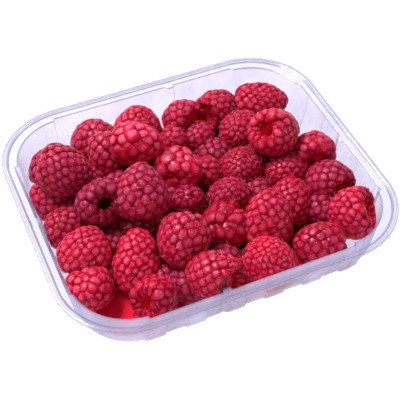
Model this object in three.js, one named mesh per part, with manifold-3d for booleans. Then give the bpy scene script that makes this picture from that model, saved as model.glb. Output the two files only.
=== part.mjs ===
// A shallow clear plastic punnet of raspberries: the thermoformed tray, the absorbent liner on its floor,
// and the heap of berries as one solid of fused, few-sided berries over a hidden core.
// Millimetres, +Z up. The origin is the middle of the underside, and +X runs along the long side.

import * as THREE from 'three';
import { mergeVertices } from 'three/addons/utils/BufferGeometryUtils.js';
import Module from 'manifold-3d';

const wasm = await Module();
wasm.setup();

// ---- Driving dimensions of the tray ----

const LENGTH = 165;
const WIDTH = 144;
const HEIGHT = 25;
const CORNER_RADIUS = 34.7;
const SHEET = 0.6;
const FLANGE = 2.9;
const STEP_DROP = 1.0;
const LIP_DROP = 1.5;
const LEDGE_INSET = 6.3;
const BASE_INSET = 9.5;
const BASE_FILLET = 5;
const FILLET_STEP = 42;
const LEDGE_BEND = 1.2;

// Upright ribs stand proud of the walls, and small inward lugs keep stacked trays apart.
const RIB_PROUD = 1.1;
const RIB_RAMP = 0.8;
const LONG_RIBS = { count: 6, pitch: 19.1, width: 10, shift: 2 };
const SHORT_RIBS = { count: 5, pitch: 16.7, width: 7.4, shift: 0 };
const LUG = { reach: 1.8, width: 5.2, ramp: 1.2 };
const LONG_LUG_PLACE = -13.5;
const SHORT_LUG_PLACE = -4;

// At each corner the ledge is wider, from these places along the sides.
const CORNER_LEDGE = 1.6;
const LONG_CORNER_START = 48.5;
const SHORT_CORNER_START = 40.5;
const CORNER_SPAN_RADIUS = 25;
const CORNER_STEPS = [15, 30, 45];

// ---- The liner, and the room that the heap keeps to its neighbours ----

const LINER_LENGTH = 124;
const LINER_SHIFT = -5;
const LINER_WIDTH = 112;
const LINER_RADIUS = 15;
const LINER_THICKNESS = 0.8;
const LINER_CORNER_STEPS = 3;
const GAP = 0.3;
const HEAP_GAP = 0.45;
const HEAP_HEADROOM = 60;

// ---- The berries ----
// Each row places the middle of one berry: x, y, z, then its width and its length from the open end to
// the tip, then the way that the tip points: its heading from +X towards +Y, and its rise, in degrees.

const LOWER_BERRIES = [
  [-34.5, 53, 13.5, 22.5, 20.5, 120, -10],
  [-10, 51.5, 15.5, 23.5, 21.5, 60, 45],
  [13.5, 51.5, 12.2, 20.5, 18.5, 140, -20],
  [36, 51, 12, 20.5, 20, 30, -20],
  [57.5, 44.5, 14.5, 19.5, 25, -20, 5],
  [37, 30, 12.5, 21.5, 21.5, -150, 25],
  [64, 2, 14.5, 21, 20, 80, -5],
  [61, -18, 13, 22, 20, 125, -15],
  [18, 36, 10.5, 17, 17, -100, 40],
  [4, 38, 11, 17, 17, -90, 50],
  [11, 12, 10.5, 17, 17, -110, 45],
  [27, 6, 12.5, 21.5, 21, -120, 40],
  [46, -4, 12, 20.5, 20, -150, 35],
  [-64.5, 24.5, 13, 22, 21, 160, 40],
  [-66, 4.5, 12.5, 19, 18.5, -140, 20],
  [-60, -14, 15, 23.5, 22, 50, 35],
  [-43, 2, 10, 16, 16, -60, 30],
  [-31, -8, 12, 21, 20, -100, 10],
  [-5, -2, 11, 18, 18, -90, 60],
  [14, -9, 12.5, 21, 21, -110, 60],
  [40, -21, 12.5, 21, 21, 60, 50],
  [3, -25, 12.5, 21.5, 21, -150, 10],
  [60.5, -41.5, 13.5, 22.5, 22, 145, -35],
  [39, -50.5, 12, 19.5, 22, 160, 5],
  [14, -52, 13.5, 24, 22, -110, 70],
  [-40, -26, 13.5, 21.5, 26, 66, 50],
  [-65, -33, 12, 20, 21, -100, 30],
  [-39, -49, 12.5, 19.5, 19, 30, -25],
  [-24, -47, 9.5, 16, 16, -80, 20],
  [-46, -11, 9.5, 14, 14, -90, 30],
  [-57, 44, 13, 22, 20, 45, 30],
  [57, 24, 12.5, 20, 20, -60, 20],
  [-30, 14, 12.5, 21, 20, 20, -30],
  [-13, 33, 11, 18, 17, -40, 25],
  [-46, 29, 11, 18, 18, 170, 15],
  [-15, -20, 11, 18, 18, 80, 10],
  [-5, -42, 10, 16, 16, -150, 30],
];
const UPPER_BERRIES = [
  [-55.5, 23, 29, 22.5, 24, -40, -10],
  [-32, 35, 18, 19, 20, -100, -20],
  [-17.8, 29, 27.5, 20.5, 22.5, -35, 5],
  [-2.5, 12.5, 19, 20, 20, -60, 20],
  [-27.5, -0.7, 30, 24, 22, 66, 58],
  [-47, 4, 24, 21, 18, 100, -35],
  [48, 11, 25, 23, 22, 20, -45],
  [-20.5, -33, 22.5, 22.5, 22, -120, -20],
  [23, -31, 18, 22, 25, 66, 60],
  [-16, -53.5, 21, 20.5, 23, 135, -15],
];

// A berry's section from the bottom of its hollow, over its open rim, to the tip: the place along its
// length and the distance from its axis, as parts of its length and width.
const HOLLOW_DEPTH = 0.42;
const BERRY_SECTION = [
  [0.05, 0.21],
  [0.0, 0.37],
  [0.2, 0.49],
  [0.43, 0.52],
  [0.66, 0.46],
  [0.87, 0.29],
];
const BERRY_SIDES = 8;
const DRUPELET_RELIEF = 0.035;

// The core under the berries is a low slab, open at one corner where the liner shows, with a post up
// into each berry of the upper layer.
const CORE_TOP = 8;
const CORE_OUTLINE = [
  [-36, -44],
  [52, -44],
  [62, -30],
  [62, 36],
  [48, 48],
  [-48, 48],
  [-62, 34],
  [-62, -30],
  [-50, -20],
  [-38, -24],
];
const POST_RADIUS = 4.5;
const POST_SIDES = 6;

// ---- Closed solids from rings of points ----

// Joins rings that have the same number of points into one closed solid, with a fan at either end.
// Each four-sided patch is split along one diagonal or, where the solid fits inside another, the other.
function loft(rings, otherDiagonal = false) {
  const perRing = rings[0].length;
  const positions = rings.flat().flatMap((point) => [point.x, point.y, point.z]);
  const indices = [];
  for (let ring = 0; ring < rings.length - 1; ring += 1) {
    for (let place = 0; place < perRing; place += 1) {
      const here = ring * perRing + place;
      const next = ring * perRing + ((place + 1) % perRing);
      indices.push(here, next, otherDiagonal ? next + perRing : here + perRing);
      indices.push(otherDiagonal ? here : next, next + perRing, here + perRing);
    }
  }
  const last = (rings.length - 1) * perRing;
  const firstMiddle = positions.length / 3;
  const lastMiddle = firstMiddle + 1;
  for (const ring of [rings[0], rings[rings.length - 1]]) {
    const middle = new THREE.Vector3();
    ring.forEach((point) => middle.add(point));
    middle.divideScalar(perRing);
    positions.push(middle.x, middle.y, middle.z);
  }
  for (let place = 0; place < perRing; place += 1) {
    const next = (place + 1) % perRing;
    indices.push(firstMiddle, next, place);
    indices.push(lastMiddle, last + place, last + next);
  }
  const geometry = new THREE.BufferGeometry();
  geometry.setAttribute('position', new THREE.Float32BufferAttribute(positions, 3));
  geometry.setIndex(indices);
  return geometry;
}

function toManifold(geometry) {
  const bare = geometry.clone();
  bare.deleteAttribute('normal');
  bare.deleteAttribute('uv');
  const merged = mergeVertices(bare);
  return new wasm.Manifold(new wasm.Mesh({
    numProp: 3,
    vertProperties: new Float32Array(merged.attributes.position.array),
    triVerts: new Uint32Array(merged.index.array),
  }));
}

// Gives back the largest shell alone, so loose scraps and sealed hollows are gone.
function largestShell(solid) {
  const { numProp, vertProperties, triVerts } = solid.getMesh();
  const parent = Array.from({ length: vertProperties.length / numProp }, (_, vertex) => vertex);
  const root = (vertex) => {
    let top = vertex;
    while (parent[top] !== top) {
      parent[top] = parent[parent[top]];
      top = parent[top];
    }
    return top;
  };
  for (let corner = 0; corner < triVerts.length; corner += 3) {
    parent[root(triVerts[corner + 1])] = root(triVerts[corner]);
    parent[root(triVerts[corner + 2])] = root(triVerts[corner]);
  }
  const shells = new Map();
  for (let corner = 0; corner < triVerts.length; corner += 3) {
    const shell = root(triVerts[corner]);
    if (!shells.has(shell)) {
      shells.set(shell, []);
    }
    shells.get(shell).push(triVerts[corner], triVerts[corner + 1], triVerts[corner + 2]);
  }
  const largest = [...shells.values()].reduce((best, shell) => (shell.length > best.length ? shell : best));
  const geometry = new THREE.BufferGeometry();
  geometry.setAttribute('position', new THREE.Float32BufferAttribute(vertProperties, numProp));
  geometry.setIndex(largest);
  return mergeVertices(geometry);
}

// ---- The tray's outline ----

// How far a raised feature is present at a place along a side: 0 beside it, 1 on it, with a short ramp.
function presence(place, centre, width, ramp) {
  const past = Math.abs(place - centre) - (width / 2 - ramp);
  return THREE.MathUtils.clamp(1 - past / ramp, 0, 1);
}

function ribCentres(ribs) {
  const first = ribs.shift - ((ribs.count - 1) / 2) * ribs.pitch;
  return Array.from({ length: ribs.count }, (_, rib) => first + rib * ribs.pitch);
}

// The stations of one side, from corner to corner. A station's place runs along the straight and on
// round half of the corner at either end.
function sideStations(straight, ribs, lugPlace, cornerStart) {
  const places = new Set([-straight, straight]);
  for (const centre of ribCentres(ribs)) {
    for (const side of [-1, 1]) {
      places.add(centre + side * ribs.width / 2);
      places.add(centre + side * (ribs.width / 2 - RIB_RAMP));
    }
  }
  for (const side of [-1, 1]) {
    places.add(lugPlace + side * LUG.width / 2);
    places.add(lugPlace + side * (LUG.width / 2 - LUG.ramp));
    places.add(side * cornerStart);
    places.add(side * (cornerStart + RIB_RAMP));
    for (const turn of CORNER_STEPS) {
      places.add(side * (straight + CORNER_SPAN_RADIUS * THREE.MathUtils.degToRad(turn)));
    }
  }
  const sorted = [...places].sort((a, b) => a - b);
  const end = sorted[sorted.length - 1];
  return sorted.filter((place) => place < end - 1e-6).map((place) => ({
    place,
    rib: Math.max(...ribCentres(ribs).map((centre) => presence(place, centre, ribs.width, RIB_RAMP))),
    lug: presence(place, lugPlace, LUG.width, LUG.ramp),
    corner: THREE.MathUtils.clamp((Math.abs(place) - cornerStart) / RIB_RAMP, 0, 1),
  }));
}

const LONG_SIDE = {
  straight: LENGTH / 2 - CORNER_RADIUS,
  reach: WIDTH / 2,
  ribs: LONG_RIBS,
  lug: LONG_LUG_PLACE,
  start: LONG_CORNER_START,
};
const SHORT_SIDE = {
  straight: WIDTH / 2 - CORNER_RADIUS,
  reach: LENGTH / 2,
  ribs: SHORT_RIBS,
  lug: SHORT_LUG_PLACE,
  start: SHORT_CORNER_START,
};
const SIDES = [
  { ...LONG_SIDE, turn: 0 },
  { ...SHORT_SIDE, turn: 90 },
  { ...LONG_SIDE, turn: 180 },
  { ...SHORT_SIDE, turn: 270 },
];

// One ring of the tray: the rounded rectangle, moved in by the inset and shaped by ribs, lugs and corners.
function trayRing({ inset, z, rib = 0, lug = 0, corner = 0 }) {
  const ring = [];
  for (const side of SIDES) {
    for (const station of sideStations(side.straight, side.ribs, side.lug, side.start)) {
      const moved = inset - rib * station.rib + lug * station.lug + corner * station.corner;
      const along = THREE.MathUtils.clamp(station.place, -side.straight, side.straight);
      const angle = (station.place - along) / CORNER_SPAN_RADIUS;
      const radius = CORNER_RADIUS - moved;
      const point = new THREE.Vector3(
        along + radius * Math.sin(angle),
        -(side.reach - CORNER_RADIUS) - radius * Math.cos(angle),
        z,
      );
      ring.push(point.applyAxisAngle(new THREE.Vector3(0, 0, 1), THREE.MathUtils.degToRad(side.turn)));
    }
  }
  return ring;
}

// ---- The tray ----

const LEDGE_Z = HEIGHT - STEP_DROP;
const WALL_TOP_Z = LEDGE_Z - LEDGE_BEND;
const FILLET_BEND = THREE.MathUtils.degToRad(FILLET_STEP);
const RIBBED = { rib: RIB_PROUD, corner: 0 };
const RIM_SHAPES = { lug: LUG.reach, corner: CORNER_LEDGE };

// The inside of the tray from the floor up, or its outside where the sheet thickness is taken off.
function wallRings(sheet) {
  const radius = BASE_FILLET - sheet;
  const wallFoot = BASE_INSET + sheet;
  return [
    { ...RIBBED, inset: BASE_INSET + BASE_FILLET, z: sheet },
    {
      ...RIBBED,
      inset: wallFoot + radius * (1 - Math.cos(FILLET_BEND)),
      z: BASE_FILLET - radius * Math.sin(FILLET_BEND),
    },
    { ...RIBBED, inset: wallFoot, z: BASE_FILLET },
  ];
}

function trayGeometry() {
  const inside = wallRings(SHEET);
  const outside = wallRings(0);
  return loft([
    ...outside.map(trayRing),
    trayRing({ ...RIM_SHAPES, inset: LEDGE_INSET - SHEET, z: LEDGE_Z - SHEET }),
    trayRing({ inset: FLANGE - SHEET / 2, z: LEDGE_Z - SHEET }),
    trayRing({ inset: FLANGE - SHEET, z: HEIGHT - SHEET }),
    trayRing({ inset: SHEET, z: HEIGHT - SHEET }),
    trayRing({ inset: SHEET, z: HEIGHT - LIP_DROP }),
    trayRing({ inset: 0, z: HEIGHT - LIP_DROP }),
    trayRing({ inset: 0, z: HEIGHT - SHEET / 2 }),
    trayRing({ inset: SHEET / 2, z: HEIGHT }),
    trayRing({ inset: FLANGE, z: HEIGHT }),
    trayRing({ inset: FLANGE + SHEET / 2, z: LEDGE_Z }),
    trayRing({ ...RIM_SHAPES, inset: LEDGE_INSET - SHEET / 2, z: LEDGE_Z }),
    trayRing({ ...RIM_SHAPES, inset: LEDGE_INSET + SHEET / 2, z: WALL_TOP_Z }),
    ...inside.reverse().map(trayRing),
  ]);
}

// ---- The liner ----

const LINER_BOTTOM = SHEET + GAP;
const LINER_TOP = LINER_BOTTOM + LINER_THICKNESS;

function linerGeometry() {
  const x = LINER_LENGTH / 2 - LINER_RADIUS;
  const y = LINER_WIDTH / 2 - LINER_RADIUS;
  const outline = new THREE.Shape();
  outline.absarc(x, y, LINER_RADIUS, 0, Math.PI / 2);
  outline.absarc(-x, y, LINER_RADIUS, Math.PI / 2, Math.PI);
  outline.absarc(-x, -y, LINER_RADIUS, Math.PI, Math.PI * 1.5);
  outline.absarc(x, -y, LINER_RADIUS, Math.PI * 1.5, Math.PI * 2);
  const geometry = new THREE.ExtrudeGeometry(outline, {
    depth: LINER_THICKNESS,
    bevelEnabled: false,
    curveSegments: LINER_CORNER_STEPS,
  });
  geometry.translate(LINER_SHIFT, 0, LINER_BOTTOM);
  return geometry;
}

// ---- The heap ----

// A berry is lofted up its own axis, with every other point a little proud for its drupelets.
function berryGeometry([x, y, z, width, length, heading, rise]) {
  const rings = BERRY_SECTION.map(([along, out], ring) => Array.from({ length: BERRY_SIDES }, (_, side) => {
    const angle = ((side + (ring % 2) / 2) / BERRY_SIDES) * Math.PI * 2;
    const relief = 1 + DRUPELET_RELIEF * ((side + ring) % 2 === 0 ? 1 : -1);
    const radius = out * width * relief;
    return new THREE.Vector3(radius * Math.cos(angle), radius * Math.sin(angle), (along - 0.5) * length);
  }));
  const geometry = loft(rings);
  const positions = geometry.attributes.position;
  const hollowVertex = positions.count - 2;
  const tipVertex = positions.count - 1;
  positions.setZ(hollowVertex, (HOLLOW_DEPTH - 0.5) * length);
  positions.setZ(tipVertex, length / 2);
  const headingAngle = THREE.MathUtils.degToRad(heading);
  const riseAngle = THREE.MathUtils.degToRad(rise);
  const tip = new THREE.Vector3(
    Math.cos(riseAngle) * Math.cos(headingAngle),
    Math.cos(riseAngle) * Math.sin(headingAngle),
    Math.sin(riseAngle),
  );
  geometry.applyQuaternion(new THREE.Quaternion().setFromUnitVectors(new THREE.Vector3(0, 0, 1), tip));
  geometry.translate(x, y, z);
  return geometry;
}

function coreGeometry() {
  const outline = new THREE.Shape(CORE_OUTLINE.map(([x, y]) => new THREE.Vector2(x, y)));
  const bottom = LINER_TOP + GAP;
  const geometry = new THREE.ExtrudeGeometry(outline, { depth: CORE_TOP - bottom, bevelEnabled: false });
  geometry.translate(0, 0, bottom);
  return geometry;
}

function postGeometry([x, y, z]) {
  const foot = CORE_TOP / 2;
  const geometry = new THREE.CylinderGeometry(POST_RADIUS, POST_RADIUS, z - foot, POST_SIDES);
  geometry.rotateX(Math.PI / 2);
  geometry.translate(x, y, (z + foot) / 2);
  return geometry;
}

// The room inside the tray, with the heap's gap to the wall and the liner, and open air above the rim.
function roomGeometry() {
  const walls = wallRings(SHEET).map((ring) => ({
    ...ring,
    inset: ring.inset + HEAP_GAP,
    z: ring.z + HEAP_GAP,
  }));
  const rim = { ...RIM_SHAPES, inset: LEDGE_INSET + SHEET / 2 + HEAP_GAP };
  return loft([
    trayRing({ ...walls[1], z: LINER_TOP + GAP }),
    trayRing(walls[2]),
    trayRing({ ...rim, z: WALL_TOP_Z }),
    trayRing({ ...rim, z: HEAP_HEADROOM }),
  ], true);
}

function heapGeometry() {
  let heap = toManifold(coreGeometry());
  for (const berry of UPPER_BERRIES) {
    heap = heap.add(toManifold(postGeometry(berry)));
  }
  for (const berry of [...LOWER_BERRIES, ...UPPER_BERRIES]) {
    heap = heap.add(toManifold(berryGeometry(berry)));
  }
  return largestShell(heap.intersect(toManifold(roomGeometry())));
}

// ---- The scene graph ----

function piece(name, geometry, color, roughness) {
  const mesh = new THREE.Mesh(geometry, new THREE.MeshStandardMaterial({ color, roughness, metalness: 0 }));
  mesh.name = name;
  return mesh;
}

const punnet = new THREE.Group();
punnet.add(piece('tray', trayGeometry(), 0xe4def2, 0.12));
punnet.add(piece('liner', linerGeometry(), 0x9c0f1c, 0.7));
punnet.add(piece('berries', heapGeometry(), 0xb01c34, 0.45));

export default punnet;
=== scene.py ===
# %% [markdown]
# # A punnet of raspberries
#
# A punnet is a shallow tray drawn from one thin sheet of clear plastic, with a soft pad on its floor
# that takes up juice, and a loose heap of fruit. This lesson sets up the camera and the light, and then
# makes the three in that order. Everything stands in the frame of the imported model: metres, +Z up, the
# origin at the middle of the tray's underside, and the long side along +X.

# %% Load the frame
import math
import random

import bpy
import numpy as np
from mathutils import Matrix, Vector


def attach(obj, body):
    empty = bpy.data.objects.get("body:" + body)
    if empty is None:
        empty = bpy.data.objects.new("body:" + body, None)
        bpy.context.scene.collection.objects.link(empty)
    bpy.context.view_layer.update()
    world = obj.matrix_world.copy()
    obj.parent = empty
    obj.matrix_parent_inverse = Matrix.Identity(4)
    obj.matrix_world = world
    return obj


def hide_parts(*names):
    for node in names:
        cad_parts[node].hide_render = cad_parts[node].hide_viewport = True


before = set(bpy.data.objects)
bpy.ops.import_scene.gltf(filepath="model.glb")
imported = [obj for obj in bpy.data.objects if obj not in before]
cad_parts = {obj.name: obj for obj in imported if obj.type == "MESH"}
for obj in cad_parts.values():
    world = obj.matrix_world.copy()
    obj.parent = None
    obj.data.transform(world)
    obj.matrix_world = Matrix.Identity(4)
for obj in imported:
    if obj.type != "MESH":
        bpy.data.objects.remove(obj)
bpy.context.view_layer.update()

MM = 0.001
print("nodes of the frame:", sorted(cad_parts))


def add_object(name, data):
    """Puts an object with this data in the scene."""
    made = bpy.data.objects.new(name, data)
    bpy.context.scene.collection.objects.link(made)
    return made


def direction(heading, rise):
    """The way a heading, in degrees from +X towards +Y, and a rise above the floor point."""
    heading, rise = math.radians(heading), math.radians(rise)
    return Vector((math.cos(rise) * math.cos(heading), math.cos(rise) * math.sin(heading), math.sin(rise)))


# %% [markdown]
# ## The camera
#
# The punnet is seen from above one long side, a little from the left, as someone sees it who is about
# to take a berry. A camera can be placed by an empty that it tracks, or by a place and a direction.
# The second needs no helper object: a heading and a height angle give the direction back to the eye,
# and the distance along it decides how strong the perspective is.

# %% Camera
VIEW_HEADING = -113.54
VIEW_HEIGHT = 48.0
VIEW_DISTANCE = 433.1 * MM
VIEW_TARGET = Vector((-4.1, -14.44, 25.0)) * MM
LENS = 84.76
SENSOR = 36.0

to_eye = direction(VIEW_HEADING, VIEW_HEIGHT)
camera_data = bpy.data.cameras.new("eye")
camera_data.lens = LENS
camera_data.sensor_width = SENSOR
camera = add_object("eye", camera_data)
camera.location = VIEW_TARGET + to_eye * VIEW_DISTANCE
camera.rotation_euler = to_eye.to_track_quat("Z", "Y").to_euler()
bpy.context.scene.camera = camera
print("camera at", tuple(round(c, 3) for c in camera.location))

# %% [markdown]
# ## Wiring nodes from Python
#
# A material is a tree of nodes. Written out call by call it soon hides what it does, so two small
# classes do the wiring. A `Board` makes any node from its type, its settings and its inputs. A `Wire`
# stands for one output, and adding or multiplying wires makes the Math nodes that do it. The same two
# classes serve shader trees and Geometry Nodes trees.

# %% Board and Wire
def operator(operation, swapped=False):
    """A Python operator for wires, which makes the Math node of that name."""
    def method(wire, other):
        return wire.board.maths(operation, *((other, wire) if swapped else (wire, other)))
    return method


class Wire:
    """An output socket that can be used in Python arithmetic."""

    def __init__(self, board, node, socket):
        self.board = board
        self.node = node
        self.socket = socket

    def out(self, name):
        return Wire(self.board, self.node, self.board.find(self.node.outputs, name))

    __add__ = __radd__ = operator("ADD")
    __mul__ = __rmul__ = operator("MULTIPLY")
    __sub__, __rsub__ = operator("SUBTRACT"), operator("SUBTRACT", swapped=True)
    __truediv__, __rtruediv__ = operator("DIVIDE"), operator("DIVIDE", swapped=True)
    __pow__ = operator("POWER")


class Board:
    """A node tree and the few ways in which this lesson fills it."""

    def __init__(self, tree):
        self.tree = tree

    @staticmethod
    def find(sockets, name):
        if isinstance(name, int):
            return sockets[name]
        return next(socket for socket in sockets if socket.name == name and socket.enabled)

    def put(self, socket, value):
        if isinstance(value, Wire):
            self.tree.links.new(value.socket, socket)
        else:
            socket.default_value = value

    def add(self, kind, inputs=None, out=None, **settings):
        node = self.tree.nodes.new(kind)
        for name, value in settings.items():
            setattr(node, name, value)
        for name, value in (inputs or {}).items():
            self.put(self.find(node.inputs, name), value)
        if not node.outputs:
            return node
        usable = [socket for socket in node.outputs if socket.enabled]
        return Wire(self, node, usable[0] if out is None else self.find(node.outputs, out))

    def maths(self, operation, *values):
        return self.add("ShaderNodeMath", dict(enumerate(values)), operation=operation)

    def split(self, vector):
        return self.add("ShaderNodeSeparateXYZ", {"Vector": vector})

    def combine(self, **parts):
        return self.add("ShaderNodeCombineXYZ", parts)

    def vector(self, operation, inputs):
        return self.add("ShaderNodeVectorMath", inputs, operation=operation)

    def smooth(self, value, low, high, to_low=0.0, to_high=1.0):
        inputs = {"Value": value, "From Min": low, "From Max": high, "To Min": to_low, "To Max": to_high}
        return self.add("ShaderNodeMapRange", inputs, interpolation_type="SMOOTHSTEP")

    def blend(self, factor, first, second):
        return self.add("ShaderNodeMix", {0: factor, 6: first, 7: second}, 2, data_type="RGBA")

    def noise(self, scale, detail=2.0, vector=None, roughness=0.5):
        inputs = {"Scale": scale, "Detail": detail, "Roughness": roughness}
        if vector is not None:
            inputs["Vector"] = vector
        return self.add("ShaderNodeTexNoise", inputs, "Fac")

    def attribute(self, name):
        return self.add("ShaderNodeAttribute", out="Fac", attribute_name=name)

    def bump(self, height, strength, distance):
        inputs = {"Strength": strength, "Distance": distance, "Height": height}
        return self.add("ShaderNodeBump", inputs)

    def finish(self, shader):
        self.put(self.add("ShaderNodeOutputMaterial").inputs["Surface"], shader)

    def finish_principled(self, inputs):
        self.finish(self.add("ShaderNodeBsdfPrincipled", inputs))


def new_material(name):
    material = bpy.data.materials.new(name)
    material.use_nodes = True
    material.node_tree.nodes.clear()
    board = Board(material.node_tree)
    board.place = board.add("ShaderNodeTexCoord", out="Object")
    return material, board


def rgb(*screen):
    """A colour named by its 0 to 255 screen values, as the linear numbers that a shader wants."""
    shares = [value / 255 for value in screen]
    return (*(part / 12.92 if part <= 0.04045 else ((part + 0.055) / 1.055) ** 2.4 for part in shares), 1.0)


print("red fruit in linear light:", tuple(round(c, 3) for c in rgb(190, 20, 45)))

# %% [markdown]
# ## The floor and the light
#
# Clear things are often shown on a light table, and so is this tray. The floor is pale paper that glows
# by itself, so it stays white, hides most of the shadow and lights the plastic from below, which brings
# out its lilac. The world is white at the horizon and dimmer above, so that the berries keep some shade.
# One softbox above and behind to the left shapes the fruit and runs along the rim, and a small window
# beside it gives each drupelet its glint.

# %% Floor, world and lamps
FLOOR_SIZE = 6.0
FLOOR_GLOW = 1.1
WORLD_HORIZON = (1.0, 1.0, 1.0, 1.0)
WORLD_ABOVE = (0.4, 0.402, 0.41, 1.0)

half = FLOOR_SIZE / 2
floor_mesh = bpy.data.meshes.new("floor")
corners = [(-half, -half, 0), (half, -half, 0), (half, half, 0), (-half, half, 0)]
floor_mesh.from_pydata(corners, [], [(0, 1, 2, 3)])
floor = add_object("floor", floor_mesh)
floor_material, board = new_material("floor_paper")
paper = board.blend(board.noise(3.0, vector=board.place), rgb(138, 138, 139), rgb(142, 142, 142))
board.finish_principled({
    "Base Color": paper, "Roughness": 0.9, "Specular IOR Level": 0.1,
    "Emission Color": (1.0, 1.0, 1.0, 1.0), "Emission Strength": FLOOR_GLOW,
})
floor_mesh.materials.append(floor_material)

world = bpy.data.worlds.new("studio")
world.use_nodes = True
board = Board(world.node_tree)
rise = board.split(board.add("ShaderNodeTexCoord", out="Generated")).out("Z")
sky = board.blend(board.smooth(rise, 0.05, 0.4), WORLD_HORIZON, WORLD_ABOVE)
board.put(world.node_tree.nodes["Background"].inputs["Color"], sky)
bpy.context.scene.world = world
bpy.context.scene.view_settings.view_transform = "Standard"


def lamp(name, place, size, power):
    data = bpy.data.lights.new(name, "AREA")
    data.shape = "SQUARE"
    data.size = size
    data.energy = power
    made = add_object(name, data)
    made.location = place
    made.rotation_euler = made.location.to_track_quat("Z", "Y").to_euler()


lamp("softbox_behind", (-0.3, 0.45, 0.95), 0.4, 12.5)
lamp("window_glint", (-0.35, 0.2, 0.9), 0.06, 1.8)
print("lamps:", [light.name for light in bpy.data.lights])

# %% [markdown]
# ## The tray's outline
#
# The tray is a rounded rectangle that was drawn down over a mould, so every level of it is the same
# outline moved in by some distance. Upright ribs stiffen the walls, each long and short side has one
# small lug that keeps stacked trays apart, and the ledge is wider at the corners. All of these only
# move the outline in or out, so one function can give any level: an inset, a height, and how much of
# each feature that level shows. A box with bevels and booleans would need dozens of cuts for this.

# %% Outline of any level
LENGTH = 165.0
WIDTH = 144.0
HEIGHT = 25.0
CORNER_RADIUS = 34.7
CORNER_SPAN_RADIUS = 25.0
SHEET = 0.6
RIB_PROUD = 1.1
RIB_RAMP = 0.8
LUG_REACH = 1.8
LUG_WIDTH = 5.2
LUG_RAMP = 1.2
CORNER_LEDGE = 1.6
LONG_RIBS = [2 + (rib - 2.5) * 19.1 for rib in range(6)]
SHORT_RIBS = [(rib - 2.0) * 16.7 for rib in range(5)]
EVEN_STEP = 2.6

RAMP_PLACES = (-0.55, -0.25, 0, 0.25, 0.55)
RAMP_CLEARANCE = 0.8

# Each side: its turn in degrees, its half length, its distance out, its ribs and their width, where
# its lug is, and where its corner ledges start.
LONG_SIDE = (LENGTH / 2, WIDTH / 2, LONG_RIBS, 10.0, -13.5, 48.5)
SHORT_SIDE = (WIDTH / 2, LENGTH / 2, SHORT_RIBS, 7.4, -4.0, 40.5)
SIDES = [(0, *LONG_SIDE), (90, *SHORT_SIDE), (180, *LONG_SIDE), (270, *SHORT_SIDE)]


def soft_step(value):
    value = np.clip(value, 0, 1)
    return value * value * (3 - 2 * value)


def presence(places, centre, width, ramp):
    """How much of a raised feature there is at each place along a side, from 0 to 1."""
    return soft_step((width / 2 - np.abs(places - centre)) / ramp)


def side_places(straight, ribs, rib_width, lug_place, corner_start):
    """Places along a side, even ones and more of them where a feature rises or falls."""
    end = straight + CORNER_SPAN_RADIUS * math.pi / 4
    places = list(np.linspace(-end, end, int(2 * end / EVEN_STEP) + 1)[:-1])
    ramps = []
    for side in (-1, 1):
        ramps += [(centre + side * (rib_width - RIB_RAMP) / 2, RIB_RAMP) for centre in ribs]
        ramps.append((lug_place + side * (LUG_WIDTH - LUG_RAMP) / 2, LUG_RAMP))
        ramps.append((side * (corner_start + RIB_RAMP / 2), RIB_RAMP))
    for centre, ramp in ramps:
        places = [place for place in places if abs(place - centre) > RAMP_CLEARANCE * ramp]
        places += [centre + ramp * share for share in RAMP_PLACES]
    return np.array(sorted(places))


STATIONS = []
for turn, side_half, reach, ribs, rib_width, lug_place, corner_start in SIDES:
    straight = side_half - CORNER_RADIUS
    places = side_places(straight, ribs, rib_width, lug_place, corner_start)
    along = np.clip(places, -straight, straight)
    STATIONS.append({
        "turn": math.radians(turn),
        "along": along,
        "angle": (places - along) / CORNER_SPAN_RADIUS,
        "reach": reach,
        "rib": np.max([presence(places, centre, rib_width, RIB_RAMP) for centre in ribs], axis=0),
        "lug": presence(places, lug_place, LUG_WIDTH, LUG_RAMP),
        "corner": soft_step((np.abs(places) - corner_start) / RIB_RAMP),
    })


def level(flat, height):
    """Flat points lifted to one height, or each to its own."""
    return np.column_stack([flat, np.full(len(flat), height)])


def waves(flat, depth, pitch):
    """Small waves, crossing each other, from 0 down to twice the depth."""
    return depth * (np.sin(flat[:, 0] * pitch) * np.sin(flat[:, 1] * pitch) - 1)


def tray_ring(inset, z, rib=0.0, lug=0.0, corner=0.0):
    """The outline at one level as points, in millimetres, with a share of each feature."""
    points = []
    for side in STATIONS:
        moved = (
            inset
            - rib * RIB_PROUD * side["rib"]
            + lug * LUG_REACH * side["lug"]
            + corner * CORNER_LEDGE * side["corner"]
        )
        radius = CORNER_RADIUS - moved
        x = side["along"] + radius * np.sin(side["angle"])
        y = CORNER_RADIUS - side["reach"] - radius * np.cos(side["angle"])
        cos, sin = math.cos(side["turn"]), math.sin(side["turn"])
        points.append(level(np.stack([x * cos - y * sin, x * sin + y * cos], axis=1), z))
    return np.concatenate(points)


print("stations round the tray:", len(tray_ring(0, 0)))

# %% [markdown]
# ## The tray's section
#
# A cut through the sheet shows the same line everywhere: floor, rounded foot, sloping wall, ledge, a
# step up to the flange and a short lip turned down. The line is written once through the middle of the
# sheet, its bends are rounded, and the two faces are found by moving it half a thickness either way. A
# Solidify modifier would do much the same, but here each point also carries its share of the ribs and
# lugs, so the faces are worked out directly.

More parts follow.
